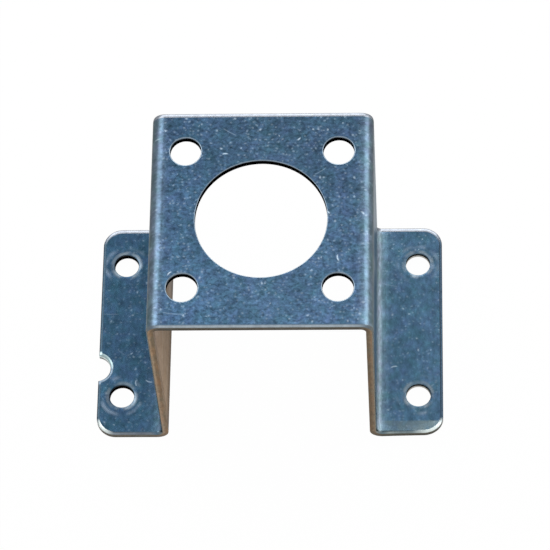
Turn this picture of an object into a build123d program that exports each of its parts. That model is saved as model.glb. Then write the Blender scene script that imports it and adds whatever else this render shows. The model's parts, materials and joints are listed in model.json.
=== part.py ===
from build123d import *
import os

# Motor mounting bracket: one strip of sheet steel, blanked, pierced and folded into a top hat.
# The raised plate carries the motor on its spigot and four bolts, with its shaft in the channel
# or above the plate. Two webs hold the plate up, and the flanges fold outwards from their feet
# to bolt down on the machine.
#
# Origin in the middle of the footprint, at the flanges' undersides. +Z is up, through the plate,
# +X runs across the two webs and +Y along the folds, to the back. Sizes are in millimetres.

# The sheet and its folds
sheet_thickness = 2.0
inside_bend_radius = 1.5
overall_height = 69.0

# Motor holes, and the metal round them that sets the plate's size
pilot_diameter = 36.0
motor_bolt_spacing = 42.0
motor_bolt_diameter = 8.5
plate_side_margin = 9.5  # from a bolt's centre to the web's outer face
plate_end_margin = 12.0  # from a bolt's centre to the end of the strip

# Flanges, and their bolt holes
flange_reach = 18.75  # beyond the web's outer face
flange_corner_radius = 5.5
base_bolt_diameter = 7.0
base_bolt_edge_distance = 7.0  # from a bolt's centre to the flange's outer edge
base_bolt_end_distance = 12.0  # from a bolt's centre to the end of the strip

# Locating notch in the outer edge of the left flange
notch_diameter = 9.5
notch_depth = 4.4
notch_from_bolt_row = 9.0  # from the front bolts, towards the middle

# Edges on the side of the sheet that ends up outside: the press tool rolls over the strip's
# outline, and the pierced holes are lightly chamfered
outline_roll = 0.6
hole_chamfer = 0.25

# Worked out from the sizes above
outside_bend_radius = inside_bend_radius + sheet_thickness
web_face = motor_bolt_spacing / 2 + plate_side_margin
strip_end = motor_bolt_spacing / 2 + plate_end_margin
flange_edge = web_face + flange_reach
base_bolt_x = flange_edge - base_bolt_edge_distance
base_bolt_y = strip_end - base_bolt_end_distance
notch_x = -flange_edge + notch_depth - notch_diameter / 2
notch_y = -base_bolt_y + notch_from_bolt_row

with BuildPart() as motor_bracket:
    # The folded strip: the outer skin is drawn, and the sheet lies inside it
    with BuildSketch(Plane.XZ) as top_hat:
        with BuildLine():
            outer_skin = FilletPolyline(
                (-flange_edge, sheet_thickness),
                (-web_face, sheet_thickness),
                (-web_face, overall_height),
                (web_face, overall_height),
                (web_face, sheet_thickness),
                (flange_edge, sheet_thickness),
                radius=[inside_bend_radius, outside_bend_radius, outside_bend_radius, inside_bend_radius],
            )
            offset(amount=sheet_thickness, side=Side.RIGHT)
        make_face()
    extrude(amount=strip_end, both=True)

    # Round corners at the flanges' free ends, where the edges are only as long as the sheet is thick
    flange_corners = motor_bracket.edges().filter_by(Axis.Z).group_by(SortBy.LENGTH)[0]
    fillet(flange_corners, radius=flange_corner_radius)

    # Pilot hole for the motor's spigot, and its four bolts
    with Locations((0, 0, overall_height)):
        Hole(radius=pilot_diameter / 2, depth=sheet_thickness)
        with GridLocations(motor_bolt_spacing, motor_bolt_spacing, 2, 2):
            Hole(radius=motor_bolt_diameter / 2, depth=sheet_thickness)

    # Bolt holes in the flanges, and the notch that a round punch bites out of the left one
    with Locations((0, 0, sheet_thickness)):
        with GridLocations(2 * base_bolt_x, 2 * base_bolt_y, 2, 2):
            Hole(radius=base_bolt_diameter / 2, depth=sheet_thickness)
        with Locations((notch_x, notch_y)):
            Hole(radius=notch_diameter / 2, depth=sheet_thickness)

    # Roll-over along the outer skin's free edges, and the chamfers round its holes
    skin_edges = motor_bracket.edges().filter_by(
        lambda edge: outer_skin.distance_to(Vector((edge @ 0.5).X, (edge @ 0.5).Z)) < sheet_thickness / 4
    )
    hole_rims = skin_edges.filter_by(lambda edge: edge.is_closed)
    lengthwise = skin_edges.filter_by(Axis.Y)
    flange_sides = lengthwise.group_by(lambda edge: abs(edge.center().X))[-1]
    fold_lines = lengthwise - flange_sides
    fillet(skin_edges - hole_rims - fold_lines, radius=outline_roll)
    chamfer(hole_rims, length=hole_chamfer)

motor_bracket.part.label = "motor_bracket"

os.makedirs("parts", exist_ok=True)
export_step(motor_bracket.part, "parts/motor_bracket.step")
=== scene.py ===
import json
import math

import bmesh
import bpy
from mathutils import Matrix, Vector


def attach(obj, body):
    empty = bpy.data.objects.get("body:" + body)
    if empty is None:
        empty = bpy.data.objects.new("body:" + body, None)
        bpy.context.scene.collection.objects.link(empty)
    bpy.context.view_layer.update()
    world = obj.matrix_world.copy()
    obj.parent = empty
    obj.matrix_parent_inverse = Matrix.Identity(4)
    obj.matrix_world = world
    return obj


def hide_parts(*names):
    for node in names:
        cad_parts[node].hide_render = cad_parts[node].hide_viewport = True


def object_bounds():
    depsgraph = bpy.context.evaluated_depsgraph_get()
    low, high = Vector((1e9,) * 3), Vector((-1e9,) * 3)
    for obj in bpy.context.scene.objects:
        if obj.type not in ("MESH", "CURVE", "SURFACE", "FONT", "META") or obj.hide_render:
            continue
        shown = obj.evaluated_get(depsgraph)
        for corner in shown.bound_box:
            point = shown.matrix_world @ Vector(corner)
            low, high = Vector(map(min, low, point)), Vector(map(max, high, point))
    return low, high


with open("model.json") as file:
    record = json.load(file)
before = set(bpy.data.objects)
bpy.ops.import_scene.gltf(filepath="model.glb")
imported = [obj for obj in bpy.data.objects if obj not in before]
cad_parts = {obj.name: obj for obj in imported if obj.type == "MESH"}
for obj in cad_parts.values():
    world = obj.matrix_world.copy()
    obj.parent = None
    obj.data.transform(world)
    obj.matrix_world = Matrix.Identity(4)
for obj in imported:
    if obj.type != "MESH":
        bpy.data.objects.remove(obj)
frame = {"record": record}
cadLow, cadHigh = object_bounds()
mountSizes = {mount["name"]: mount["dims"] for mount in frame["record"]["mounts"]}
mm = 0.001

# The bracket is made as it is in the shop: a flat blank is cut and pierced, then folded at four lines.
# The blank lies in XY with the plate in the middle, and Z is the height above the middle of the sheet.
strip = {
    "sheet": 2.0 * mm,
    "insideBend": 1.5 * mm,
    "webFace": 30.5 * mm,  # from the middle to the outer face of a web
    "bendSteps": 14,
    "cornerRadius": 5.5 * mm,
    "cornerSteps": 16,
    "notchRadius": 4.1 * mm,  # a size smaller than the solid's notch
    "notchDepth": 3.4 * mm,
    "notchFromBolts": 9.0 * mm,
    "notchSteps": 16,
    "rollWidth": 0.85 * mm,  # the press tool drags the skin down along the cut edge
    "rollDrop": 0.42 * mm,
    "rollSteps": 6,
    "rimSteps": 3,  # the same round the holes
    "backStretch": 0.5,  # at the strip's back edge the roll-over reaches this much further in
    "backFull": 1.0 * mm,  # the stretch is whole up to this far from the back edge
    "backFade": 6.0 * mm,  # and none is left here
    "burr": 0.08 * mm,  # the other side of the cut is only broken
    "burrSteps": 2,
    "kinkWidth": 4.0 * mm,  # the front end of the right flange has been knocked upwards, most at the corner
    "kinkLift": 0.75 * mm,
    "kinkCurve": 0.8,  # under 1, so the lift begins at the fold
    "weld": 0.001 * mm,  # points closer than this are one
    "crease": 32,  # degrees between two faces from which their edge is sharp
}
# Holes by mount: how round they are drawn, their rolled rim, and the ring pressed in by a washer
holeStyle = {
    "motor_pilot": {"segments": 128, "rim": 0.22 * mm},
    "motor_bolts": {"segments": 64, "rim": 0.3 * mm},
    "base_bolts": {"segments": 56, "rim": 0.2 * mm,
                   "ring": 5.2 * mm, "ringWidth": 1.3 * mm, "ringLift": 0.03 * mm},
}

midBend = strip["insideBend"] + strip["sheet"] / 2
outsideBend = strip["insideBend"] + strip["sheet"]
bendRun = midBend * math.pi / 2
plateRun = strip["webFace"] - outsideBend
webRun = cadHigh.z - strip["sheet"] - strip["insideBend"] - outsideBend
flangeRun = cadHigh.x - strip["webFace"] - strip["insideBend"]
foldRuns = [(0, plateRun), (-1, bendRun), (0, webRun), (1, bendRun), (0, flangeRun)]
plateBend = plateRun + bendRun
flangeStart = plateBend + webRun + bendRun
blankEnd = flangeStart + flangeRun
blankSide = cadHigh.y
halfSheet = strip["sheet"] / 2


def placeFolded(point):
    # Follows the sheet out from the middle of the plate, turning a quarter at each bend
    x, z, slope, left = 0, cadHigh.z - halfSheet, 0, abs(point.x)
    for quarter, run in foldRuns:
        part = min(left, run)
        turned = quarter * math.pi / 2 * part / run
        if quarter:
            x += midBend * quarter * (math.sin(slope + turned) - math.sin(slope))
            z += midBend * quarter * (math.cos(slope) - math.cos(slope + turned))
        else:
            x += part * math.cos(slope)
            z += part * math.sin(slope)
        slope += turned
        left -= part
    x -= point.z * math.sin(slope)
    z += point.z * math.cos(slope)
    return Vector((math.copysign(x, point.x), point.y, z))


print("Drawing the blank")
sheet = bmesh.new()


def drawStraight(start, x, y):
    made = bmesh.ops.extrude_vert_indiv(sheet, verts=[start])["verts"]
    bmesh.ops.translate(sheet, verts=made, vec=(x - start.co.x, y - start.co.y, 0))
    return made[0]


def drawArc(start, x, y, degrees, steps):
    made = bmesh.ops.spin(sheet, geom=[start], cent=(x, y, start.co.z), axis=(0, 0, 1), dvec=(0, 0, 0),
                          angle=math.radians(degrees), steps=steps, use_duplicate=False)
    return next(item for item in made["geom_last"] if isinstance(item, bmesh.types.BMVert))


corner = strip["cornerRadius"]
notchY = strip["notchFromBolts"] - mountSizes["base_bolts"]["spacing_y_mm"] * mm / 2
notchX = strip["notchDepth"] - strip["notchRadius"] - blankEnd
notchHalfAngle = math.degrees(math.acos((-blankEnd - notchX) / strip["notchRadius"]))
notchMouth = strip["notchRadius"] * math.sin(math.radians(notchHalfAngle))

undersideLevel = strip["burr"] - halfSheet
pen = sheet.verts.new((-blankEnd, notchY + notchMouth, undersideLevel))
pen = drawArc(pen, notchX, notchY, -2 * notchHalfAngle, strip["notchSteps"])
for xSide, ySide in ((-1, -1), (1, -1), (1, 1), (-1, 1)):
    if xSide == ySide:  # comes in along the flange's free edge
        pen = drawStraight(pen, xSide * blankEnd, ySide * (blankSide - corner))
    else:
        pen = drawStraight(pen, xSide * (blankEnd - corner), ySide * blankSide)
    pen = drawArc(pen, xSide * (blankEnd - corner), ySide * (blankSide - corner), 90, strip["cornerSteps"])
drawStraight(pen, -blankEnd, notchY + notchMouth)
bmesh.ops.remove_doubles(sheet, verts=sheet.verts[:], dist=strip["weld"])
bmesh.ops.contextual_create(sheet, geom=sheet.edges[:])

# Lines across the strip, close together where it will bend, and the line of the kink
foldLines = [start + bendRun * step / strip["bendSteps"]
             for start in (plateRun, plateBend + webRun) for step in range(strip["bendSteps"] + 1)]
for line in foldLines + [flangeStart + strip["kinkWidth"]]:
    for side in (-1, 1):
        bmesh.ops.bisect_plane(sheet, geom=sheet.verts[:] + sheet.edges[:] + sheet.faces[:],
                               plane_co=(side * line, 0, 0), plane_no=(1, 0, 0), dist=strip["weld"])
kinkLine = strip["kinkWidth"] - blankSide
flangeFaces = [face for face in sheet.faces if face.calc_center_median().x > flangeStart]
flangeGeom = dict.fromkeys(item for face in flangeFaces for item in (*face.verts, *face.edges))
bmesh.ops.bisect_plane(sheet, geom=flangeFaces + list(flangeGeom), plane_co=(0, kinkLine, 0),
                       plane_no=(0, 1, 0), dist=strip["weld"])

print("Piercing the holes")


def holeCentres(name):
    sizes = mountSizes[name]
    if "spacing_x_mm" not in sizes:
        return [(0, 0)]
    x, y = sizes["spacing_x_mm"] * mm / 2, sizes["spacing_y_mm"] * mm / 2
    if x > strip["webFace"]:  # on the flanges, which lie further out while the blank is flat
        x += blankEnd - cadHigh.x
    return [(i * x, j * y) for i in (-1, 1) for j in (-1, 1)]


def holeRadius(name):
    sizes = mountSizes[name]
    return (sizes["r_mm"] if "r_mm" in sizes else sizes["hole_r_mm"]) * mm


holes = []
for name, style in holeStyle.items():
    collar = holeRadius(name) + style["rim"]
    if "ring" in style:
        collar = style["ring"] + style["ringWidth"] / 2
    holes += [(name, x, y, collar) for x, y in holeCentres(name)]
for face in list(sheet.faces):
    xs, ys = [vert.co.x for vert in face.verts], [vert.co.y for vert in face.verts]
    inside = [hole for hole in holes if min(xs) < hole[1] < max(xs) and min(ys) < hole[2] < max(ys)]
    if not inside:
        continue
    edges = list(face.edges)
    bmesh.ops.delete(sheet, geom=[face], context="FACES_ONLY")
    for name, x, y, collar in inside:
        circle = bmesh.ops.create_circle(sheet, cap_ends=True, segments=holeStyle[name]["segments"],
                                         radius=collar, matrix=Matrix.Translation((x, y, undersideLevel)))
        edges += dict.fromkeys(edge for vert in circle["verts"] for edge in vert.link_edges)
    bmesh.ops.triangle_fill(sheet, use_beauty=True, use_dissolve=False, edges=edges, normal=(0, 0, 1))
bmesh.ops.recalc_face_normals(sheet, faces=sheet.faces[:])

print("Giving the sheet its thickness")
lift = strip["sheet"] - strip["burr"] - strip["rollDrop"]
raised = bmesh.ops.extrude_face_region(sheet, geom=sheet.faces[:])["geom"]
raised = [item for item in raised if isinstance(item, bmesh.types.BMVert)]
bmesh.ops.translate(sheet, verts=raised, vec=(0, 0, lift))
bmesh.ops.recalc_face_normals(sheet, faces=sheet.faces[:])
topSkin = [face for face in sheet.faces if round(face.normal.z) == 1]
underSkin = [face for face in sheet.faces if round(face.normal.z) == -1]
cutWalls = [face for face in sheet.faces if round(face.normal.z) == 0]

# Materials by slot
slots = ["skin", "channel", "rolled", "sheared", "pierced", "burnished"]


def paint(faces, slotName):
    for face in faces:
        face.material_index = slots.index(slotName)


paint(underSkin, "channel")
paint(cutWalls, "sheared")


def cornersOf(faces):
    return list(dict.fromkeys(vert for face in faces for vert in face.verts))


def insetSkin(faces, width, rise):
    made = bmesh.ops.inset_region(sheet, faces=faces, thickness=width, use_even_offset=True,
                                  use_boundary=True)
    bmesh.ops.translate(sheet, verts=cornersOf(faces), vec=(0, 0, rise))
    return made["faces"]


def quarterEllipse(width, drop, steps, fromFlat):
    # Pairs of (step across, step down), either from the flat to the wall or the other way
    angles = [math.pi / 2 * step / steps for step in range(steps + 1)]
    pairs = [(width * (math.sin(b) - math.sin(a)), drop * (math.cos(a) - math.cos(b)))
             for a, b in zip(angles, angles[1:])]
    return pairs if fromFlat else pairs[::-1]


for across, down in quarterEllipse(strip["rollWidth"], strip["rollDrop"], strip["rollSteps"], False):
    paint(insetSkin(topSkin, across, down), "rolled")
    for vert in cornersOf(topSkin):
        fromFade = vert.co.y - (blankSide - strip["backFade"])
        share = min(1, max(0, fromFade / (strip["backFade"] - strip["backFull"])))
        vert.co.y -= across * strip["backStretch"] * share
for across, down in quarterEllipse(strip["burr"], strip["burr"], strip["burrSteps"], False):
    paint(insetSkin(underSkin, across, -down), "sheared")

for name, x, y, collar in holes:
    style = holeStyle[name]
    discs = [face for face in sheet.faces if len(face.verts) == style["segments"]
             and (face.calc_center_median().xy - Vector((x, y))).length < style["rim"]]
    top = [face for face in discs if face.normal.z > 0]
    under = [face for face in discs if face.normal.z < 0]
    insetSkin(under, collar - holeRadius(name), 0)
    if "ring" in style:
        insetSkin(top, style["ringWidth"] / 2, style["ringLift"])
        insetSkin(top, style["ringWidth"] / 2, -style["ringLift"])
        insetSkin(top, style["ring"] - style["ringWidth"] / 2 - holeRadius(name) - style["rim"], 0)
    for across, down in quarterEllipse(style["rim"], style["rim"], strip["rimSteps"], True):
        paint(insetSkin(top, across, -down), "rolled")
    rims = [edge for face in top + under for edge in face.edges]
    bmesh.ops.delete(sheet, geom=top + under, context="FACES_ONLY")
    paint(bmesh.ops.bridge_loops(sheet, edges=rims)["faces"], "pierced")

# The punch that bit the notch out has polished its wall, which is painted near white, partly as a painted
# reflection
notchReach = strip["notchRadius"] + strip["rollWidth"]
inNotch = [face for face in sheet.faces if abs(face.calc_center_median().y - notchY) < notchMouth
           and (face.calc_center_median().xy - Vector((notchX, notchY))).length < notchReach]
paint([face for face in inNotch if face.material_index == slots.index("sheared")], "burnished")

print("Folding the strip")
sheetHeight = sheet.verts.layers.float.new("sheetHeight")  # in mm above the middle of the sheet
flatMap = sheet.loops.layers.uv.new("flatBlank")
for vert in sheet.verts:
    vert[sheetHeight] = vert.co.z / mm
for face in sheet.faces:
    for loop in face.loops:
        loop[flatMap].uv = loop.vert.co.xy
for vert in sheet.verts:
    if vert.co.x > flangeStart and vert.co.y < kinkLine:
        fromFold = ((vert.co.x - flangeStart) / flangeRun) ** strip["kinkCurve"]
        vert.co.z += strip["kinkLift"] * fromFold * (kinkLine - vert.co.y) / strip["kinkWidth"]
for vert in sheet.verts:
    vert.co = placeFolded(vert.co)

bmesh.ops.remove_doubles(sheet, verts=sheet.verts[:], dist=strip["weld"])
bmesh.ops.recalc_face_normals(sheet, faces=sheet.faces[:])
for face in sheet.faces:
    face.smooth = True
for edge in sheet.edges:
    edge.smooth = edge.calc_face_angle(0) < math.radians(strip["crease"])
# The extrusion leaves its walls in any order, so the faces are put in the order of their corners
sheet.verts.index_update()
vertCount = len(sheet.verts)


def cornerOrder(face):
    first, second, third = sorted(vert.index for vert in face.verts)[:3]
    return (first * vertCount + second) * vertCount + third


sheet.faces.sort(key=cornerOrder)

bracketMesh = bpy.data.meshes.new("bracketSheet")
sheet.to_mesh(bracketMesh)
sheet.free()
bracketSheet = bpy.data.objects.new("bracketSheet", bracketMesh)
bpy.context.scene.collection.objects.link(bracketSheet)
weighted = bracketSheet.modifiers.new("weightedNormals", "WEIGHTED_NORMAL")
weighted.keep_sharp = True
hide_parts("motor_bracket")
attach(bracketSheet, "root")

print("Making the materials")


def fromHex(colour):
    channels = [int(colour[i:i + 2], 16) / 255 for i in (1, 3, 5)]
    return (*[c / 12.92 if c <= 0.04045 else ((c + 0.055) / 1.055) ** 2.4 for c in channels], 1)


def addNode(tree, kind, inputs=None, **settings):
    # An input is a value, a socket, or a node, which then gives its first live output
    node = tree.nodes.new("ShaderNode" + kind)
    for name, value in settings.items():
        setattr(node, name, value)
    for name, value in (inputs or {}).items():
        if isinstance(value, bpy.types.Node):
            value = next(output for output in value.outputs if output.enabled)
        if isinstance(value, bpy.types.NodeSocket):
            tree.links.new(value, node.inputs[name])
        else:
            node.inputs[name].default_value = value
    return node


def startMaterial(name):
    # Every finish reads the flat blank in mm, so its pattern runs round the folds with the sheet
    material = bpy.data.materials.new(name)
    material.use_nodes = True
    tree = material.node_tree
    tree.nodes.clear()
    flat = addNode(tree, "UVMap", uv_map="flatBlank")
    sheetMm = addNode(tree, "Mapping", {"Vector": flat, "Scale": (1 / mm, 1 / mm, 1 / mm)})
    return material, tree, sheetMm, addNode(tree, "SeparateXYZ", {"Vector": sheetMm})


def coloursAlong(tree, axes, stops):
    # Colours laid along the strip: stops are (mm from the plate's middle, colour), left end first
    reach = stops[-1][0]
    along = addNode(tree, "MapRange", {"Value": axes.outputs["X"], "From Min": -reach, "From Max": reach})
    ramp = addNode(tree, "ValToRGB", {"Fac": along})
    elements = ramp.color_ramp.elements
    while len(elements) < len(stops):
        elements.new(0.5)
    for element, (place, colour) in zip(elements, stops):
        element.position = (place + reach) / (2 * reach)
        element.color = fromHex(colour)
    return ramp


# Noise mostly lies in this range, which is stretched to the low and high that a pattern asks for
noise = {"rough": 0.6, "usual": {"From Min": 0.3, "From Max": 0.7}}


def cloudAt(tree, sheetMm, size, low, high, stretch=(1, 1, 1), detail=3.0, swirl=0.0, shift=(0, 0, 0)):
    # A factor that drifts between low and high over patches of that size in mm
    placed = addNode(tree, "Mapping", {
        "Vector": sheetMm, "Scale": [1 / (size * s) for s in stretch], "Location": shift})
    drift = addNode(tree, "TexNoise", {
        "Vector": placed, "Scale": 1.0, "Detail": detail, "Roughness": noise["rough"], "Distortion": swirl})
    return addNode(tree, "MapRange", {"Value": drift, **noise["usual"], "To Min": low, "To Max": high})


def clouded(tree, sheetMm, colour, clouds):
    for cloud in clouds:
        colour = addNode(tree, "VectorMath", {
            0: colour, "Scale": cloudAt(tree, sheetMm, **cloud)}, operation="SCALE")
    return colour


def handlingMarks(tree, sheetMm, marks):
    # One mark at most in each cell, turned and bowed at random: specks, nicks and scratches are one pattern
    placed = addNode(tree, "Mapping", {"Vector": sheetMm, "Location": (marks["shift"], marks["shift"], 0)})
    cells = addNode(tree, "TexVoronoi", {
        "Vector": placed, "Scale": 1 / marks["cell"]}, voronoi_dimensions="2D")
    chance = addNode(tree, "SeparateColor", {"Color": cells.outputs["Color"]})
    local = addNode(tree, "VectorMath", {0: placed, 1: cells.outputs["Position"]}, operation="SUBTRACT")
    angle = addNode(tree, "Math", {
        0: chance.outputs[0], 1: marks["spread"], 2: marks["lean"]}, operation="MULTIPLY_ADD")
    turned = addNode(tree, "VectorRotate", {"Vector": local, "Angle": angle}, rotation_type="Z_AXIS")
    along = addNode(tree, "SeparateXYZ", {"Vector": turned})
    bow = addNode(tree, "Math", {
        0: chance.outputs[1], 1: marks["bow"], 2: -marks["bow"] / 2}, operation="MULTIPLY_ADD")
    square = addNode(tree, "Math", {0: along.outputs["X"], 1: along.outputs["X"]}, operation="MULTIPLY")
    bent = addNode(tree, "Math", {0: square, 1: bow, 2: along.outputs["Y"]}, operation="MULTIPLY_ADD")
    off = addNode(tree, "Math", {0: bent}, operation="ABSOLUTE")
    thin = addNode(tree, "MapRange", {
        "Value": off, "From Min": marks["width"] / 2, "From Max": marks["width"] / 8})
    reach = addNode(tree, "Math", {0: chance.outputs[2], 1: marks["length"] / 2}, operation="MULTIPLY")
    walked = addNode(tree, "Math", {0: along.outputs["X"]}, operation="ABSOLUTE")
    left = addNode(tree, "Math", {0: reach, 1: walked}, operation="SUBTRACT")
    short = addNode(tree, "MapRange", {"Value": left, "From Max": marks["width"]})
    crowd = cloudAt(tree, sheetMm, marks["crowd"], 0.0, 2 * marks["share"], shift=(marks["shift"], 0, 0))
    there = addNode(tree, "Math", {0: chance.outputs[1], 1: crowd}, operation="LESS_THAN")
    mark = addNode(tree, "Math", {0: thin, 1: short}, operation="MULTIPLY")
    mark = addNode(tree, "Math", {0: mark, 1: there}, operation="MULTIPLY")
    depth = addNode(tree, "MapRange", {"Value": chance.outputs[2], **wear["shortToLong"]})
    return addNode(tree, "Math", {0: mark, 1: depth}, operation="MULTIPLY")


# Where the strip's stretches meet, in mm from the plate's middle, and its long side
plateEnd, webTop, webFoot, flangeIn, stripEnd = (
    run / mm for run in (plateRun, plateBend, plateBend + webRun, flangeStart, blankEnd))
stripSide = blankSide / mm
boltX, boltY = (value / mm for value in holeCentres("base_bolts")[-1])

# Zinc plate with a blue passivate, dipped after plating: a cool mirror, clouded by its film, and paler where
# the bending tools have rubbed it, and in places paler as painted light. All sizes are in mm.
zinc = {
    # Colours along the strip, left end first: the zinc's own tone, greyer over the folds, with painted light
    # in it: pale grey where the bends turn down, the right web paler towards its foot, and pale bands at both
    # flanges' folds
    "along": [
        (-stripEnd, "#344E63"), (-flangeIn - 4, "#354F65"), (-flangeIn - 1, "#3F576B"),
        (-flangeIn, "#53697A"), (-webFoot, "#5F6C76"), (-webFoot + 5, "#4E6378"), (-webTop - 4, "#50667B"),
        (-webTop, "#808284"), (-webTop + 1.4, "#5A646A"), (-plateEnd - 0.8, "#586878"),
        (-plateEnd + 1, "#486079"), (-plateEnd + 4, "#45607A"),
        (0, "#4A647C"),
        (plateEnd - 4, "#48617A"), (plateEnd - 1, "#4C657E"), (plateEnd + 0.8, "#596D7D"),
        (webTop - 1.4, "#66717A"), (webTop, "#747676"), (webTop + 4, "#5A6E80"), (webFoot - 24, "#5A6E80"),
        (webFoot - 8, "#8C979B"), (webFoot, "#A4ADB0"), (flangeIn - 1, "#8C9AA4"), (flangeIn, "#6E8393"),
        (flangeIn + 1.4, "#66859C"), (flangeIn + 1.9, "#55738A"), (flangeIn + 3.8, "#4E6C84"),
        (flangeIn + 7.5, "#48657C"), (stripEnd, "#4A667D"),
    ],
    "edgeTint": "#C5CACB",
    "onPlate": {"From Min": plateEnd + 2, "From Max": plateEnd},
    # Painted light and shade: the plate is painted paler at the front and darker at the back, the flanges
    # less so
    "frontToBack": {"From Min": 5 - stripSide, "From Max": stripSide - 3},
    "platePaintedShading": {"To Min": 1.24, "To Max": 0.82},
    "flangePaintedShading": {"To Min": 1.12, "To Max": 0.96},
    "greenish": "#DDF2EA",
    "violet": "#F6F0FF",
    "film": {"size": 4.0, "low": 0.0, "high": 1.0, "shift": (30, 0, 0)},
    "clouds": [
        {"size": 13.0, "low": 0.85, "high": 1.18},
        {"size": 2.4, "low": 0.8, "high": 1.22, "stretch": (1, 1.6, 1)},
    ],
    # The plating's grain, which is a few hundredths of a mm, drawn as coarse as it needs to show
    "plateGrain": {
        "size": 0.9, "low": 0.54, "high": 1.6, "stretch": (1.3, 1, 1), "detail": 4.0, "swirl": 0.5},
    "flangeGrain": {"size": 1.3, "low": 0.76, "high": 1.28, "stretch": (1, 1.5, 1), "detail": 3.0},
    # The folds were drawn over the press tool, so they are duller than the plate, and their feet dullest.
    # Each row adds to the roughness of the stretch before it, going out from the plate.
    "rough": {"size": 6.0, "low": 0.2, "high": 0.27},
    "duller": [
        {"From Min": plateEnd - 1, "From Max": plateEnd + 0.5, "To Max": 0.1},
        {"From Min": webFoot - 6, "From Max": webFoot, "To Max": 0.3},
        {"From Min": flangeIn - 0.5, "From Max": flangeIn + 1, "To Max": -0.4},
    ],
    "drawLines": {"size": 0.35, "low": 0.0, "high": 1.0, "stretch": (6, 1, 1)},
    "bump": {"Strength": 0.08, "Distance": 0.02 * mm},
}
# The end of the right flange that was knocked up: painted greyer, most at the corner, as a painted reflection
# of its tilted face, and brighter at the fold as a painted highlight
kink = {
    "reflectionTint": "#6C7C80",
    "cloud": {"size": 2.5, "low": 0.5, "high": 1.0},
    "pastKink": {"From Min": kinkLine / mm + 0.1, "From Max": kinkLine / mm - 0.2},
    "pastWeb": {"From Min": webFoot, "From Max": flangeIn - 1},
    "towardsCorner": {"From Min": flangeIn, "From Max": flangeIn + 11, "To Min": 0.55},
    "atFold": {"From Min": flangeIn + 3, "From Max": flangeIn},
    "paintedShine": {"To Min": 1.0, "To Max": 1.45},  # how much brighter the fold is painted there, a painted highlight
}
# Washers have rubbed a ring round each bolt hole in the flanges, and its mouth, in places
washer = {
    "ring": "#8797AA",
    "ringRadius": 5.9,
    "ringEdge": {"From Min": 0.9, "From Max": 0.1},
    "ringCloud": {"size": 5.5, "low": -0.5, "high": 0.5, "detail": 1.0},
    "mouth": "#8A969E",
    "mouthEdge": {"From Min": 4.9, "From Max": 4.2},
    "mouthCloud": {"size": 3.0, "low": -0.1, "high": 0.75, "detail": 1.0},
}
# Marks of handling: cell is how far apart they lie, share how many cells hold one, and crowd the size of the
# busy patches. They are turned by lean at least, and by up to spread more, in radians. Real ones are finer,
# and these are as wide as they need to be to show.
wear = {
    "colour": "#C0D4E4",
    "rough": 0.15,
    "depth": 2.0,  # against the draw lines in the bump
    "shortToLong": {"To Min": 0.5, "To Max": 1.1},  # how strong a mark is by its length
    "leftToRight": {"From Min": -plateEnd, "From Max": plateEnd},
    "onFlanges": {"To Min": 0.4, "To Max": 0.75},  # how strong the marks are there, against the plate
    "flecks": {"cell": 0.95, "length": 1.2, "width": 0.75, "bow": 0.6, "spread": 2.2, "lean": -1.1,
               "share": 0.45, "crowd": 6.0, "shift": 9.0, "strength": 0.3},
    "specks": {"cell": 1.9, "length": 1.3, "width": 0.8, "bow": 0.9, "spread": 3.2, "lean": -1.6,
               "share": 0.16, "crowd": 6.0, "shift": 3.0, "strength": 0.62},
    "nicks": {"cell": 4.6, "length": 2.6, "width": 0.6, "bow": 0.5, "spread": 6.28, "lean": 0.0,
              "share": 0.12, "crowd": 12.0, "shift": 17.0, "strength": 0.7},
    "scratches": {"cell": 11.0, "length": 7.0, "width": 0.4, "bow": 0.08, "spread": 1.6, "lean": -0.9,
                  "share": 0.2, "crowd": 20.0, "shift": 41.0, "strength": 0.2},
}


def tintKink(tree, sheetMm, axes, colour):
    # Painted reflection: the knocked-up end is painted greyer, and a painted highlight brightens it at the
    # fold
    knocked = addNode(tree, "MapRange", {"Value": axes.outputs["Y"], **kink["pastKink"]})
    onRight = addNode(tree, "MapRange", {"Value": axes.outputs["X"], **kink["pastWeb"]})
    knocked = addNode(tree, "Math", {0: knocked, 1: onRight}, operation="MULTIPLY")
    towardsCorner = addNode(tree, "MapRange", {"Value": axes.outputs["X"], **kink["towardsCorner"]})
    tinted = addNode(tree, "Math", {0: knocked, 1: towardsCorner}, operation="MULTIPLY")
    tinted = addNode(tree, "Math", {
        0: tinted, 1: cloudAt(tree, sheetMm, **kink["cloud"])}, operation="MULTIPLY")
    colour = addNode(tree, "Mix", {0: tinted, 6: colour, 7: fromHex(kink["reflectionTint"])}, data_type="RGBA")
    atFold = addNode(tree, "MapRange", {"Value": axes.outputs["X"], **kink["atFold"]})
    paintedShine = addNode(tree, "Math", {0: knocked, 1: atFold}, operation="MULTIPLY")
    paintedShine = addNode(tree, "MapRange", {"Value": paintedShine, **kink["paintedShine"]})
    return addNode(tree, "VectorMath", {0: colour, "Scale": paintedShine}, operation="SCALE")


def rubByWashers(tree, sheetMm, colour):
    # All four holes are one, once the blank is folded in quarters by taking away the signs
    quarter = addNode(tree, "VectorMath", {0: sheetMm}, operation="ABSOLUTE")
    fromBolt = addNode(tree, "VectorMath", {0: quarter, 1: (boltX, boltY, 0)}, operation="DISTANCE")
    offRing = addNode(tree, "Math", {0: fromBolt, 1: washer["ringRadius"]}, operation="SUBTRACT")
    offRing = addNode(tree, "Math", {0: offRing}, operation="ABSOLUTE")
    for distance, part in ((offRing, "ring"), (fromBolt, "mouth")):
        rubbed = addNode(tree, "MapRange", {"Value": distance, **washer[part + "Edge"]})
        cloud = cloudAt(tree, sheetMm, **washer[part + "Cloud"])
        rubbed = addNode(tree, "Math", {0: rubbed, 1: cloud}, operation="MULTIPLY", use_clamp=True)
        colour = addNode(tree, "Mix", {0: rubbed, 6: colour, 7: fromHex(washer[part])}, data_type="RGBA")
    return colour


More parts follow.
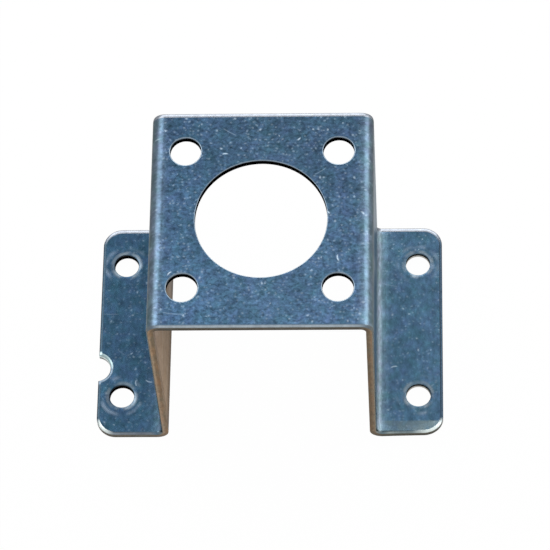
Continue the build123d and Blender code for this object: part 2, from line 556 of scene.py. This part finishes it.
def wearAt(tree, sheetMm, axes, onPlate):
    worn = None
    for name in ("flecks", "specks", "nicks", "scratches"):
        marks = handlingMarks(tree, sheetMm, wear[name])
        marks = addNode(tree, "Math", {0: marks, 1: wear[name]["strength"]}, operation="MULTIPLY")
        worn = addNode(tree, "Math", {0: worn, 1: marks}, operation="MAXIMUM") if worn else marks
    offPlate = addNode(tree, "MapRange", {
        "Value": axes.outputs["X"], **wear["leftToRight"], **wear["onFlanges"]})
    marked = addNode(tree, "MapRange", {"Value": onPlate, "To Min": offPlate, "To Max": 1.0})
    return addNode(tree, "Math", {0: worn, 1: marked}, operation="MULTIPLY")


def makeZincSkin():
    material, tree, sheetMm, axes = startMaterial("bluePassivatedZinc")
    across = addNode(tree, "Math", {0: axes.outputs["X"]}, operation="ABSOLUTE")
    onPlate = addNode(tree, "MapRange", {"Value": across, **zinc["onPlate"]})
    # Painted light and shade from front to back
    fades = [addNode(tree, "MapRange", {"Value": axes.outputs["Y"], **zinc["frontToBack"], **zinc[part]})
             for part in ("flangePaintedShading", "platePaintedShading")]
    fade = addNode(tree, "Mix", {0: onPlate, 2: fades[0], 3: fades[1]}, data_type="FLOAT")
    # The colours along the strip hold painted light as well as the zinc's own tone
    colour = addNode(tree, "VectorMath", {
        0: coloursAlong(tree, axes, zinc["along"]), "Scale": fade}, operation="SCALE")
    film = addNode(tree, "Mix", {
        0: cloudAt(tree, sheetMm, **zinc["film"]),
        6: fromHex(zinc["greenish"]), 7: fromHex(zinc["violet"])}, data_type="RGBA")
    colour = addNode(tree, "VectorMath", {0: colour, 1: film}, operation="MULTIPLY")
    colour = clouded(tree, sheetMm, colour, zinc["clouds"])
    grain = addNode(tree, "Mix", {
        0: onPlate, 2: cloudAt(tree, sheetMm, **zinc["flangeGrain"]),
        3: cloudAt(tree, sheetMm, **zinc["plateGrain"])}, data_type="FLOAT")
    colour = addNode(tree, "VectorMath", {0: colour, "Scale": grain}, operation="SCALE")
    colour = tintKink(tree, sheetMm, axes, colour)
    colour = rubByWashers(tree, sheetMm, colour)
    worn = wearAt(tree, sheetMm, axes, onPlate)
    colour = addNode(tree, "Mix", {0: worn, 6: colour, 7: fromHex(wear["colour"])}, data_type="RGBA")

    rough = cloudAt(tree, sheetMm, **zinc["rough"])
    for stretch in zinc["duller"]:
        more = addNode(tree, "MapRange", {"Value": across, **stretch})
        rough = addNode(tree, "Math", {0: rough, 1: more}, operation="ADD")
    rough = addNode(tree, "Math", {0: worn, 1: wear["rough"], 2: rough}, operation="MULTIPLY_ADD")
    lines = cloudAt(tree, sheetMm, **zinc["drawLines"])
    relief = addNode(tree, "Math", {0: worn, 1: -wear["depth"], 2: lines}, operation="MULTIPLY_ADD")
    shader = addNode(tree, "BsdfPrincipled", {
        "Base Color": colour, "Metallic": 1.0, "Roughness": rough, "Specular Tint": fromHex(zinc["edgeTint"]),
        "Normal": addNode(tree, "Bump", {"Height": relief, **zinc["bump"]})})
    addNode(tree, "OutputMaterial", {"Surface": shader})
    return material


# The channel's side of the same sheet, with painted light on it: its webs are painted warm near the front as
# a painted reflection, turn cooler farther in, and are painted dark at their feet as painted shade
channel = {
    # Warm painted reflection, left end first, dark at the webs' feet as painted shade
    "warmReflection": [
        (-stripEnd, "#4A6883"), (-flangeIn - 2, "#56646E"), (-webFoot + 1, "#55504B"),
        (-webFoot + 11, "#9C9080"), (-webTop - 24, "#9E9284"), (-webTop - 2, "#A39A93"),
        (-plateEnd, "#66727A"), (-plateEnd + 3, "#4A6883"), (plateEnd - 3, "#4A6883"), (plateEnd, "#66727A"),
        (webTop + 2, "#A39A93"), (webTop + 24, "#9E9284"), (webFoot - 11, "#9C9080"),
        (webFoot - 1, "#55504B"), (flangeIn + 2, "#56646E"), (stripEnd, "#4A6883"),
    ],
    # Farther in: cooler, and also dark at the webs' feet as painted shade
    "inside": [
        (-stripEnd, "#4A6883"), (-flangeIn - 2, "#56646E"), (-webFoot + 1, "#565F66"),
        (-webFoot + 11, "#707C85"), (-webTop - 2, "#75818A"),
        (-plateEnd, "#66727A"), (-plateEnd + 3, "#4A6883"), (plateEnd - 3, "#4A6883"), (plateEnd, "#66727A"),
        (webTop + 2, "#75818A"), (webFoot - 11, "#707C85"),
        (webFoot - 1, "#565F66"), (flangeIn + 2, "#56646E"), (stripEnd, "#4A6883"),
    ],
    "edgeTint": "#BFAFA2",
    "warmReflectionEdge": {"From Min": 21, "From Max": -3},  # where the warm painted reflection gives out, from the middle
    "ragged": {"size": 16.0, "low": -6.0, "high": 6.0, "detail": 1.0},  # how far that line wanders
    # The warm part is painted warmer still in patches, also a painted reflection
    "full": "#FFFFFF",
    "thin": "#E8DACA",
    "warmPatches": {"size": 6.0, "low": 1.0, "high": 0.0, "shift": (12, 7, 0)},
    # Painted light and shade on the webs from front to back: palest a few mm in from the front cut, darkest
    # just in front of the middle, and a little darker at the cut edges
    "webPaintedLight": [
        (-stripSide, 0.88), (2 - stripSide, 0.9), (3.5 - stripSide, 1.3), (8 - stripSide, 1.2),
        (13 - stripSide, 1.02), (-5, 0.62), (8, 0.95), (stripSide, 0.85)],
    "palest": 2.0,  # a curve only reaches 1, so its levels are shares of this
    "clouds": [
        {"size": 0.8, "low": 0.76, "high": 1.28, "stretch": (6, 1.2, 1)},  # drawn far coarser than real lines
        {"size": 5.0, "low": 0.85, "high": 1.15, "stretch": (2, 2, 1)},
    ],
    "rough": {"size": 5.0, "low": 0.36, "high": 0.5},
}


def paintedWebLight(tree, axes):
    fades = channel["webPaintedLight"]
    front, back = fades[0][0], fades[-1][0]
    depth = addNode(tree, "MapRange", {"Value": axes.outputs["Y"], "From Min": front, "From Max": back})
    fade = addNode(tree, "FloatCurve", {"Value": depth})
    curve = fade.mapping.curves[0]
    while len(curve.points) < len(fades):
        curve.points.new(0.5, 0.5)
    for point, (place, level) in zip(curve.points, fades):
        point.location = ((place - front) / (back - front), level / channel["palest"])
        point.handle_type = "VECTOR"
    fade.mapping.update()
    fade = addNode(tree, "Math", {0: fade, 1: channel["palest"]}, operation="MULTIPLY")
    across = addNode(tree, "Math", {0: axes.outputs["X"]}, operation="ABSOLUTE")
    pastPlate = addNode(tree, "MapRange", {"Value": across, "From Min": plateEnd, "From Max": webTop})
    beforeFlange = addNode(tree, "MapRange", {"Value": across, "From Min": flangeIn, "From Max": webFoot})
    onWeb = addNode(tree, "Math", {0: pastPlate, 1: beforeFlange}, operation="MULTIPLY")
    return addNode(tree, "Mix", {0: onWeb, 2: 1.0, 3: fade}, data_type="FLOAT")


def makeChannelSkin():
    material, tree, sheetMm, axes = startMaterial("channelZincWithPaintedLight")
    ragged = addNode(tree, "Math", {
        0: axes.outputs["Y"], 1: cloudAt(tree, sheetMm, **channel["ragged"])}, operation="ADD")
    # Painted reflection: warm towards the front, up to a ragged edge
    warmReflection = addNode(tree, "MapRange", {"Value": ragged, **channel["warmReflectionEdge"]})
    colour = addNode(tree, "Mix", {
        0: warmReflection, 6: coloursAlong(tree, axes, channel["inside"]),
        7: coloursAlong(tree, axes, channel["warmReflection"])}, data_type="RGBA")
    thin = addNode(tree, "Math", {
        0: warmReflection, 1: cloudAt(tree, sheetMm, **channel["warmPatches"])}, operation="MULTIPLY")
    film = addNode(tree, "Mix", {
        0: thin, 6: fromHex(channel["full"]), 7: fromHex(channel["thin"])}, data_type="RGBA")
    colour = addNode(tree, "VectorMath", {0: colour, 1: film}, operation="MULTIPLY")
    # Painted light and shade down the webs
    colour = addNode(tree, "VectorMath", {0: colour, "Scale": paintedWebLight(tree, axes)}, operation="SCALE")
    colour = clouded(tree, sheetMm, colour, channel["clouds"])
    shader = addNode(tree, "BsdfPrincipled", {
        "Base Color": colour, "Metallic": 1.0, "Roughness": cloudAt(tree, sheetMm, **channel["rough"]),
        "Specular Tint": fromHex(channel["edgeTint"])})
    addNode(tree, "OutputMaterial", {"Surface": shader})
    return material


# Skin dragged over the cut edge: still blue where it starts down, with a pale lip painted above the cut as a
# highlight.
# The tool has rubbed it, and painted highlights make it bright along the back, at the front corners, round
# the plate's holes and behind the notch; the flanges' outer ends are painted dark as painted shade.
# Sizes are in mm, and the levels are mm above the middle of the sheet.
rolled = {
    # Its colour along the strip, left end first, dark at the flanges' outer ends as painted shade
    "skin": [
        (-stripEnd, "#33434F"), (-stripEnd + 5, "#33434F"), (-flangeIn, "#4E6678"), (-webFoot, "#6A6A60"),
        (-webTop, "#6E6E66"),
        (-plateEnd, "#566C80"), (plateEnd, "#566C80"), (webTop, "#7C7A70"), (webFoot, "#84837A"),
        (flangeIn, "#60747E"), (stripEnd - 1.5, "#52687A"), (stripEnd - 0.6, "#2A3744"),
        (stripEnd, "#2A3744"),
    ],
    # A pale lip painted above the front cut as a highlight
    "lip": [
        (-stripEnd, "#8E98A0"), (-flangeIn - 5, "#656D77"), (-flangeIn, "#757E87"), (-plateEnd, "#9CA7AF"),
        (plateEnd, "#9CA7AF"), (flangeIn, "#8C9694"), (flangeIn + 6, "#768488"), (stripEnd, "#768488"),
    ],
    "lipLevel": {"From Min": 0.995, "From Max": 0.95},
    "foot": "#5A5B57",
    "footLevel": {"From Min": 0.7, "From Max": 0.62},
    # Painted highlight along the back edge, palest higher up
    "back": "#6E7278",
    "backLipHighlight": "#82878F",
    "backLevel": {"From Min": 0.64, "From Max": 0.76},
    # Painted highlights at the front corners and round the plate's holes
    "corner": "#DCE6E4",
    "holeRimHighlight": "#7B8B99",
    "onPlate": {"From Min": plateEnd + 1.5, "From Max": plateEnd - 0.5},
    "onFlange": {"From Min": flangeIn, "From Max": flangeIn + 2},
    "atFront": {"From Min": 3 - stripSide, "From Max": 2 - stripSide},
    "atBack": {"From Min": stripSide - 5, "From Max": stripSide - 1.5},
    "atHoles": {"From Min": stripSide - 3, "From Max": stripSide - 4},
    "frontCorners": {"From Min": 5 - stripSide, "From Max": 2.5 - stripSide},
    "leftCorner": {"From Min": 5 - stripEnd, "From Max": 2.2 - stripEnd},
    "rightCorner": {"From Min": flangeIn + 8.5, "From Max": flangeIn + 13},
    "notchEdge": {"From Min": strip["notchRadius"] / mm + 1.4, "From Max": strip["notchRadius"] / mm + 0.9},
    "notchMiddle": {"From Min": notchY / mm - 0.5, "From Max": notchY / mm + 1.5},
    "notchFront": "#5F6D7A",
    "notchBackHighlight": "#93A7AA",
    "clouds": [{"size": 1.6, "low": 0.85, "high": 1.15, "detail": 2.0}],
    "rough": {"size": 2.0, "low": 0.22, "high": 0.34},
    "edgeTint": "#CBCBCB",
}


def makeRolledEdge():
    material, tree, sheetMm, axes = startMaterial("burnishedZincWithPaintedHighlights")
    across = addNode(tree, "Math", {0: axes.outputs["X"]}, operation="ABSOLUTE")
    fromMiddle = addNode(tree, "Math", {0: axes.outputs["Y"]}, operation="ABSOLUTE")
    level = addNode(tree, "Attribute", attribute_name="sheetHeight").outputs["Fac"]
    onPlate = addNode(tree, "MapRange", {"Value": across, **rolled["onPlate"]})
    onFlange = addNode(tree, "MapRange", {"Value": across, **rolled["onFlange"]})
    flat = addNode(tree, "Math", {0: onPlate, 1: onFlange}, operation="MAXIMUM")

    lip = addNode(tree, "MapRange", {"Value": level, **rolled["lipLevel"]})
    atFront = addNode(tree, "MapRange", {"Value": axes.outputs["Y"], **rolled["atFront"]})
    frontLip = addNode(tree, "Math", {0: lip, 1: atFront}, operation="MULTIPLY")
    frontLip = addNode(tree, "Math", {0: frontLip, 1: flat}, operation="MULTIPLY")
    colour = addNode(tree, "Mix", {
        0: frontLip, 6: coloursAlong(tree, axes, rolled["skin"]),
        7: coloursAlong(tree, axes, rolled["lip"])}, data_type="RGBA")

    # Painted highlight along the back
    atBack = addNode(tree, "MapRange", {"Value": axes.outputs["Y"], **rolled["atBack"]})
    high = addNode(tree, "MapRange", {"Value": level, **rolled["backLevel"]})
    back = addNode(tree, "Mix", {
        0: high, 6: fromHex(rolled["back"]), 7: fromHex(rolled["backLipHighlight"])}, data_type="RGBA")
    colour = addNode(tree, "Mix", {0: atBack, 6: colour, 7: back}, data_type="RGBA")

    # Painted highlight round the plate's holes
    atHoles = addNode(tree, "MapRange", {"Value": fromMiddle, **rolled["atHoles"]})
    holeRimHighlight = addNode(tree, "Math", {0: atHoles, 1: onPlate}, operation="MULTIPLY")
    colour = addNode(tree, "Mix", {0: holeRimHighlight, 6: colour, 7: fromHex(rolled["holeRimHighlight"])}, data_type="RGBA")

    # Painted highlight at the front corners
    corners = [addNode(tree, "MapRange", {"Value": axes.outputs["X"], **rolled[part]})
               for part in ("leftCorner", "rightCorner")]
    corner = addNode(tree, "Math", {0: corners[0], 1: corners[1]}, operation="MAXIMUM")
    forward = addNode(tree, "MapRange", {"Value": axes.outputs["Y"], **rolled["frontCorners"]})
    corner = addNode(tree, "Math", {0: corner, 1: forward}, operation="MULTIPLY")
    colour = addNode(tree, "Mix", {0: corner, 6: colour, 7: fromHex(rolled["corner"])}, data_type="RGBA")

    foot = addNode(tree, "MapRange", {"Value": level, **rolled["footLevel"]})
    foot = addNode(tree, "Math", {0: foot, 1: forward}, operation="MULTIPLY")
    foot = addNode(tree, "Math", {0: foot, 1: flat}, operation="MULTIPLY")
    colour = addNode(tree, "Mix", {0: foot, 6: colour, 7: fromHex(rolled["foot"])}, data_type="RGBA")

    fromNotch = addNode(tree, "VectorMath", {
        0: sheetMm, 1: (notchX / mm, notchY / mm, 0)}, operation="DISTANCE")
    atNotch = addNode(tree, "MapRange", {"Value": fromNotch, **rolled["notchEdge"]})
    behind = addNode(tree, "MapRange", {"Value": axes.outputs["Y"], **rolled["notchMiddle"]})
    notchRim = addNode(tree, "Mix", {
        0: behind, 6: fromHex(rolled["notchFront"]), 7: fromHex(rolled["notchBackHighlight"])}, data_type="RGBA")
    colour = addNode(tree, "Mix", {0: atNotch, 6: colour, 7: notchRim}, data_type="RGBA")
    colour = clouded(tree, sheetMm, colour, rolled["clouds"])
    shader = addNode(tree, "BsdfPrincipled", {
        "Base Color": colour, "Metallic": 1.0, "Roughness": cloudAt(tree, sheetMm, **rolled["rough"]),
        "Specular Tint": fromHex(rolled["edgeTint"])})
    addNode(tree, "OutputMaterial", {"Surface": shader})
    return material


# Sheared steel: a smooth burnished band under the roll-over, then a coarse dull fracture down to the burr
sheared = {
    # Colours along the outline, left end first: their brown, palest on the webs and darkest on the flanges,
    # is a painted reflection
    "along": [
        (-stripEnd, "#4A4942"), (-stripEnd + 6, "#635E54"), (-flangeIn, "#69635A"), (-webFoot, "#A08972"),
        (-webTop, "#A0896F"),
        (-plateEnd, "#5C5850"), (plateEnd, "#5C5850"), (webTop, "#8A765F"), (webFoot, "#806D57"),
        (flangeIn, "#504D42"), (stripEnd, "#4D4A40"),
    ],
    "ragged": {"size": 0.9, "low": -0.25, "high": 0.25},  # how far the fracture's edge wanders up and down
    "torn": {"From Min": -0.5, "From Max": 0.25, "To Min": 0.74, "To Max": 0.9},  # how pale, by level
    "clouds": [
        {"size": 0.5, "low": 0.78, "high": 1.25, "stretch": (5, 1, 1)},  # torn streaks along the cut
        {"size": 1.4, "low": 0.85, "high": 1.15, "stretch": (2, 1, 1)},
    ],
    "oxide": "#FFEBD6",
    "grey": "#E4F0F0",
    "film": {"size": 2.0, "low": 0.0, "high": 1.0, "stretch": (3, 1, 1)},
    "rough": {"From Min": -0.2, "From Max": 0.25, "To Min": 0.55, "To Max": 0.35},
}


def makeShearedEdge():
    material, tree, sheetMm, axes = startMaterial("shearedSteel")
    level = addNode(tree, "Attribute", attribute_name="sheetHeight").outputs["Fac"]
    # The cut's own map: round the outline one way, and down the sheet the other
    roundOutline = addNode(tree, "Math", {0: axes.outputs["X"], 1: axes.outputs["Y"]}, operation="ADD")
    onCut = addNode(tree, "CombineXYZ", {"X": roundOutline, "Y": level})
    ragged = addNode(tree, "Math", {
        0: level, 1: cloudAt(tree, sheetMm, **sheared["ragged"])}, operation="ADD")
    fade = addNode(tree, "MapRange", {"Value": ragged, **sheared["torn"]})
    # The brown along the outline is a painted reflection
    colour = addNode(tree, "VectorMath", {
        0: coloursAlong(tree, axes, sheared["along"]), "Scale": fade}, operation="SCALE")
    colour = clouded(tree, onCut, colour, sheared["clouds"])
    film = addNode(tree, "Mix", {
        0: cloudAt(tree, onCut, **sheared["film"]),
        6: fromHex(sheared["oxide"]), 7: fromHex(sheared["grey"])}, data_type="RGBA")
    shader = addNode(tree, "BsdfPrincipled", {
        "Base Color": addNode(tree, "VectorMath", {0: colour, 1: film}, operation="MULTIPLY"),
        "Metallic": 1.0, "Roughness": addNode(tree, "MapRange", {"Value": ragged, **sheared["rough"]})})
    addNode(tree, "OutputMaterial", {"Surface": shader})
    return material


# Walls of the punched holes: left unplated, and painted near black as painted shade, with a thin browner band
# at the mouth.
# Those in the flanges are painted bright from halfway down, as painted light from the floor below.
pierced = {
    # Painted shade: near black
    "paintedShade": "#0C0C0E",
    "mouth": "#4A3F34",
    "mouthLevel": {"From Min": 0.5, "From Max": 0.75},
    # Painted light from the floor below
    "floorBounceLight": "#C4C2BC",
    "bounceLevel": {"From Min": -flangeIn, "From Max": flangeIn, "To Min": -0.75, "To Max": 0.0},
    "bounceEdge": {"From Max": 0.3},
    "ragged": {"size": 1.2, "low": -0.1, "high": 0.1},
    "rough": {"size": 0.6, "low": 0.42, "high": 0.6},
    "edgeTint": "#3F3F3F",
}


def makePiercedWall():
    material, tree, sheetMm, axes = startMaterial("piercedSteel")
    level = addNode(tree, "Attribute", attribute_name="sheetHeight").outputs["Fac"]
    ragged = addNode(tree, "Math", {
        0: level, 1: cloudAt(tree, sheetMm, **pierced["ragged"])}, operation="ADD")
    atMouth = addNode(tree, "MapRange", {"Value": ragged, **pierced["mouthLevel"]})
    colour = addNode(tree, "Mix", {
        0: atMouth, 6: fromHex(pierced["paintedShade"]), 7: fromHex(pierced["mouth"])}, data_type="RGBA")
    # Painted light from the floor below brightens the flanges' hole walls from halfway down
    across = addNode(tree, "Math", {0: axes.outputs["X"]}, operation="ABSOLUTE")
    onFlange = addNode(tree, "Math", {0: across, 1: flangeIn}, operation="GREATER_THAN")
    bounceTop = addNode(tree, "MapRange", {"Value": axes.outputs["X"], **pierced["bounceLevel"]})
    below = addNode(tree, "Math", {0: bounceTop, 1: ragged}, operation="SUBTRACT")
    floorBounceLight = addNode(tree, "MapRange", {"Value": below, **pierced["bounceEdge"]})
    floorBounceLight = addNode(tree, "Math", {0: onFlange, 1: floorBounceLight}, operation="MULTIPLY")
    colour = addNode(tree, "Mix", {0: floorBounceLight, 6: colour, 7: fromHex(pierced["floorBounceLight"])}, data_type="RGBA")
    shader = addNode(tree, "BsdfPrincipled", {
        "Base Color": colour, "Metallic": 1.0, "Roughness": cloudAt(tree, sheetMm, **pierced["rough"]),
        "Specular Tint": fromHex(pierced["edgeTint"])})
    addNode(tree, "OutputMaterial", {"Surface": shader})
    return material


# The notch is cut in a second stroke, whose punch leaves its wall almost polished, painted near white as a
# painted reflection, above a dark burr
notchWall = {
    # Near white, brighter than the polish alone, as a painted reflection
    "bright": "#E6F0EE",
    "dull": "#B4C2C0",
    "cloud": {"size": 0.8, "low": 0.0, "high": 1.0},
    "burr": "#3E4643",
    "burrLevel": {"From Min": 0.05, "From Max": -0.2},
    "rough": {"size": 1.0, "low": 0.18, "high": 0.3},
}


def makeNotchWall():
    material, tree, sheetMm, _ = startMaterial("punchPolishedSteel")
    level = addNode(tree, "Attribute", attribute_name="sheetHeight").outputs["Fac"]
    colour = addNode(tree, "Mix", {
        0: cloudAt(tree, sheetMm, **notchWall["cloud"]),
        6: fromHex(notchWall["dull"]), 7: fromHex(notchWall["bright"])}, data_type="RGBA")
    burr = addNode(tree, "MapRange", {"Value": level, **notchWall["burrLevel"]})
    colour = addNode(tree, "Mix", {0: burr, 6: colour, 7: fromHex(notchWall["burr"])}, data_type="RGBA")
    shader = addNode(tree, "BsdfPrincipled", {
        "Base Color": colour, "Metallic": 1.0, "Roughness": cloudAt(tree, sheetMm, **notchWall["rough"])})
    addNode(tree, "OutputMaterial", {"Surface": shader})
    return material


makers = {"skin": makeZincSkin, "channel": makeChannelSkin, "rolled": makeRolledEdge,
          "sheared": makeShearedEdge, "pierced": makePiercedWall, "burnished": makeNotchWall}
for slotName in slots:
    bracketMesh.materials.append(makers[slotName]())

print("Setting the studio")
middle = (cadLow + cadHigh) / 2
studio = {
    "floorSize": 8.0,
    "floorDrop": 0.1 * mm,  # keeps the floor clear of the flanges' undersides
    "floorPaint": "#F3F3F3",
    "floorGlow": 0.985,  # how much of the floor's own white the camera sees over its lit surface
    "white": "#FFFFFF",
    "worldLight": 0.6,
    "lampDistance": 0.8,
    # Softboxes: degrees clockwise from straight behind the bracket, seen from above, and degrees up
    "softboxes": {
        "leftSoftbox": {"azimuth": -49, "elevation": 44, "width": 0.4, "height": 0.5, "radiance": 2.8},
        "rightSoftbox": {"azimuth": 57, "elevation": 31, "width": 0.38, "height": 0.46, "radiance": 2.8},
        "backSoftbox": {"azimuth": 0, "elevation": 29, "width": 0.8, "height": 0.5, "radiance": 3.2},
    },
}
white = fromHex(studio["white"])

# Matt white paint that keeps the bracket's soft shadow, and is plain white to the camera and in the metal
floorMaterial = bpy.data.materials.new("paleFloor")
floorMaterial.use_nodes = True
tree = floorMaterial.node_tree
tree.nodes.clear()
ray = addNode(tree, "LightPath")
viewed = addNode(tree, "Math", {
    0: ray.outputs["Is Camera Ray"], 1: studio["floorGlow"]}, operation="MULTIPLY")
mirrored = addNode(tree, "Math", {
    0: ray.outputs["Is Glossy Ray"], 1: ray.outputs["Is Transmission Ray"]}, operation="MAXIMUM")
glow = addNode(tree, "Math", {0: viewed, 1: mirrored}, operation="MAXIMUM")
matt = addNode(tree, "BsdfDiffuse", {"Color": fromHex(studio["floorPaint"])})
bright = addNode(tree, "Emission", {"Color": white, "Strength": 1.0})
addNode(tree, "OutputMaterial", {"Surface": addNode(tree, "MixShader", {0: glow, 1: matt, 2: bright})})
floorSheet = bmesh.new()
bmesh.ops.create_grid(floorSheet, x_segments=1, y_segments=1, size=studio["floorSize"] / 2)
floorMesh = bpy.data.meshes.new("floor")
floorSheet.to_mesh(floorMesh)
floorSheet.free()
floorMesh.materials.append(floorMaterial)
floor = bpy.data.objects.new("floor", floorMesh)
floor.location.z = cadLow.z - studio["floorDrop"]
bpy.context.scene.collection.objects.link(floor)

world = bpy.data.worlds.new("studio")
bpy.context.scene.world = world
world.use_nodes = True
tree = world.node_tree
tree.nodes.clear()
ray = addNode(tree, "LightPath")
mirrored = addNode(tree, "Math", {
    0: ray.outputs["Is Glossy Ray"], 1: ray.outputs["Is Transmission Ray"]}, operation="MAXIMUM")
seen = addNode(tree, "Math", {0: ray.outputs["Is Camera Ray"], 1: mirrored}, operation="MAXIMUM")
soft = addNode(tree, "Background", {"Color": white, "Strength": studio["worldLight"]})
backdrop = addNode(tree, "Background", {"Color": white, "Strength": 1.0})
addNode(tree, "OutputWorld", {"Surface": addNode(tree, "MixShader", {0: seen, 1: soft, 2: backdrop})})


def directionTo(azimuth, elevation):
    azimuth, elevation = math.radians(azimuth), math.radians(elevation)
    out = math.cos(elevation)
    return Vector((math.sin(azimuth) * out, math.cos(azimuth) * out, math.sin(elevation)))


for name, box in studio["softboxes"].items():
    lamp = bpy.data.lights.new(name, "AREA")
    lamp.shape = "RECTANGLE"
    lamp.size, lamp.size_y = box["width"], box["height"]
    lamp.energy = box["radiance"] * math.pi * box["width"] * box["height"]
    softbox = bpy.data.objects.new(name, lamp)
    out = directionTo(box["azimuth"], box["elevation"])
    softbox.location = middle + out * studio["lampDistance"]
    softbox.rotation_euler = out.to_track_quat("Z", "Y").to_euler()
    bpy.context.scene.collection.objects.link(softbox)

view = {
    "azimuth": 174.797,  # measured as for the softboxes
    "elevation": 62.221,
    "roll": -4.934,
    "distance": 1004.1 * mm,
    "lens": 235.135,
    "sensor": 36,
    "aim": Vector((2.43, 0.71, 0)) * mm,
}
cameraData = bpy.data.cameras.new("camera")
cameraData.sensor_width = view["sensor"]
cameraData.lens = view["lens"]
camera = bpy.data.objects.new("camera", cameraData)
bpy.context.scene.collection.objects.link(camera)
towards = directionTo(view["azimuth"], view["elevation"])
camera.location = middle + view["aim"] + towards * view["distance"]
level = towards.to_track_quat("Z", "Y").to_matrix().to_4x4()
camera.rotation_euler = (level @ Matrix.Rotation(math.radians(view["roll"]), 4, "Z")).to_euler()
bpy.context.scene.camera = camera
bpy.context.scene.view_settings.view_transform = "Standard"
